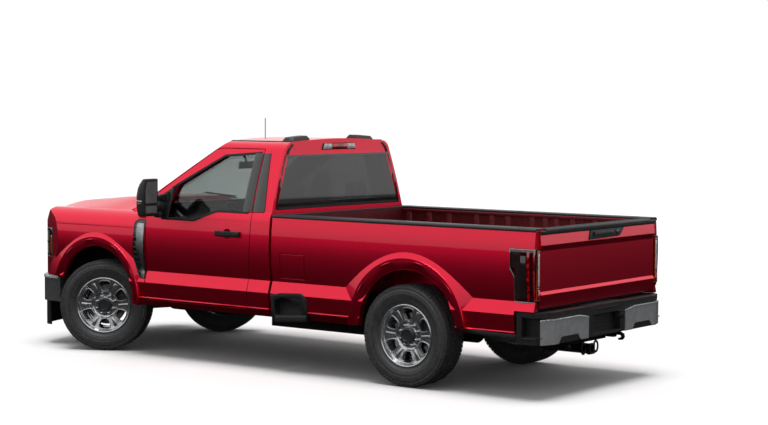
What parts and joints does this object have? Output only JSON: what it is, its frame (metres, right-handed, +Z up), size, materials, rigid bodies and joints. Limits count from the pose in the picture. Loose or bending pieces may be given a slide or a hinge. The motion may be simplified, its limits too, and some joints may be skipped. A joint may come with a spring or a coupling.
{
  "type": "pickup truck",
  "caption": "Regular-cab pickup truck with a long load bed, front wheels parked turned left; wheels, steering, doors, hood, tailgate and fuel door move.",
  "frame": {"origin": "on the ground under the middle of the overall length, on the centre plane", "axes": "+X forward, +Y to the truck's left, +Z up"},
  "size_m": [5.9124, 2.688, 2.176],
  "materials": {
    "paint": "deep metallic gloss",
    "clear_glass": "clear",
    "dark_glass": "tinted",
    "black_plastic": "fine grain",
    "bright_metal": "mirror polish",
    "clear_lens": "clear lens",
    "red_lens": "smoked gloss",
    "black_steel": "satin paint",
    "cast_metal": "as cast",
    "pipe_metal": "dull",
    "polished_alloy": "polished",
    "tyre": "satin sidewall",
    "seat_cloth": "woven"
  },
  "bodies": {
    "chassis": {"aerial_mast": "black_plastic", "air_dam": "black_plastic", "back_glass": "dark_glass", "bed_floor": "paint", "bedside_left": "paint", "bedside_right": "paint", "bench_seat": "seat_cloth", "bumper_panel_left": "bright_metal", "bumper_panel_right": "bright_metal", "cab_back_panel": "paint", "cab_floor": "paint", "cab_roof": "paint", "cab_side_left": "paint", "cab_side_right": "paint", "cowl": "paint", "dashboard": "black_plastic", "driveline": "black_steel", "engine": "cast_metal", "exhaust": "pipe_metal", "fender_left": "paint", "fender_right": "paint", "frame": "black_steel", "front_axle": "black_steel", "front_bumper": "bright_metal", "fuel_tank": "black_steel", "grille": "black_plastic", "headlamp_left": "clear_lens", "headlamp_right": "clear_lens", "hitch": "black_steel", "radiator_core": "pipe_metal", "rail_caps": "black_plastic", "rear_axle": "black_steel", "rear_bumper": "black_plastic", "spare_wheel": "tyre", "tail_lamp_left": "red_lens", "tail_lamp_right": "red_lens", "windscreen": "clear_glass"},
    "knuckle_left": {"knuckle_left": "cast_metal"},
    "knuckle_right": {"knuckle_right": "cast_metal"},
    "wheel_front_left": {"tyre_front_left": "tyre", "rim_front_left": "polished_alloy"},
    "wheel_front_right": {"tyre_front_right": "tyre", "rim_front_right": "polished_alloy"},
    "wheel_rear_left": {"tyre_rear_left": "tyre", "rim_rear_left": "polished_alloy"},
    "wheel_rear_right": {"tyre_rear_right": "tyre", "rim_rear_right": "polished_alloy"},
    "door_left": {"door_left": "paint", "door_glass_left": "clear_glass", "mirror_left": "black_plastic"},
    "door_right": {"door_right": "paint", "door_glass_right": "clear_glass", "mirror_right": "black_plastic"},
    "hood": {"hood": "paint"},
    "tailgate": {"tailgate": "paint"},
    "fuel_door": {"fuel_door": "paint"},
    "steering_wheel": {"steering_wheel": "black_plastic"}
  },
  "joints": [
    {"name": "steer_left", "type": "hinge", "parent": "chassis", "child": "knuckle_left", "pos_m": [1.986, 0.7875, 0.425], "axis": [0, 0, 1], "range_deg": [-64.8, 7.2]},
    {"name": "steer_right", "type": "hinge", "parent": "chassis", "child": "knuckle_right", "pos_m": [1.986, -0.7875, 0.425], "axis": [0, 0, 1], "range_deg": [-64.8, 7.2]},
    {"name": "wheel_front_left_spin", "type": "hinge", "parent": "knuckle_left", "child": "wheel_front_left", "pos_m": [1.94746, 0.8576, 0.425], "axis": [-0.4818, 0.8763, 0], "continuous": true},
    {"name": "wheel_front_right_spin", "type": "hinge", "parent": "knuckle_right", "child": "wheel_front_right", "pos_m": [2.02454, -0.8576, 0.425], "axis": [-0.4818, 0.8763, 0], "continuous": true},
    {"name": "wheel_rear_left_spin", "type": "hinge", "parent": "chassis", "child": "wheel_rear_left", "pos_m": [-1.611, 0.8535, 0.425], "axis": [0, 1, 0], "continuous": true},
    {"name": "wheel_rear_right_spin", "type": "hinge", "parent": "chassis", "child": "wheel_rear_right", "pos_m": [-1.611, -0.8535, 0.425], "axis": [0, 1, 0], "continuous": true},
    {"name": "door_left_hinge", "type": "hinge", "parent": "chassis", "child": "door_left", "pos_m": [1.29, 1, 0.95], "axis": [0, 0, -1], "range_deg": [0, 65]},
    {"name": "door_right_hinge", "type": "hinge", "parent": "chassis", "child": "door_right", "pos_m": [1.29, -1, 0.95], "axis": [0, 0, 1], "range_deg": [0, 65]},
    {"name": "hood_hinge", "type": "hinge", "parent": "chassis", "child": "hood", "pos_m": [1.7, 0, 1.43], "axis": [0, -1, 0], "range_deg": [0, 50]},
    {"name": "tailgate_hinge", "type": "hinge", "parent": "chassis", "child": "tailgate", "pos_m": [-2.814, 0, 0.788], "axis": [0, -1, 0], "range_deg": [0, 90]},
    {"name": "fuel_door_hinge", "type": "hinge", "parent": "chassis", "child": "fuel_door", "pos_m": [-0.29, 0.998, 0.928], "axis": [0, 0, -1], "range_deg": [0, 110]},
    {"name": "steering_wheel_turn", "type": "hinge", "parent": "chassis", "child": "steering_wheel", "pos_m": [0.746, 0.4, 1.22], "axis": [-0.9063, 0, 0.4226], "range_deg": [-1090, 130]}
  ],
  "couplings": [
    {"joint": "steer_right", "follows": "steer_left", "ratio": 1},
    {"joint": "steering_wheel_turn", "follows": "steer_left", "ratio": 16.8}
  ]
}
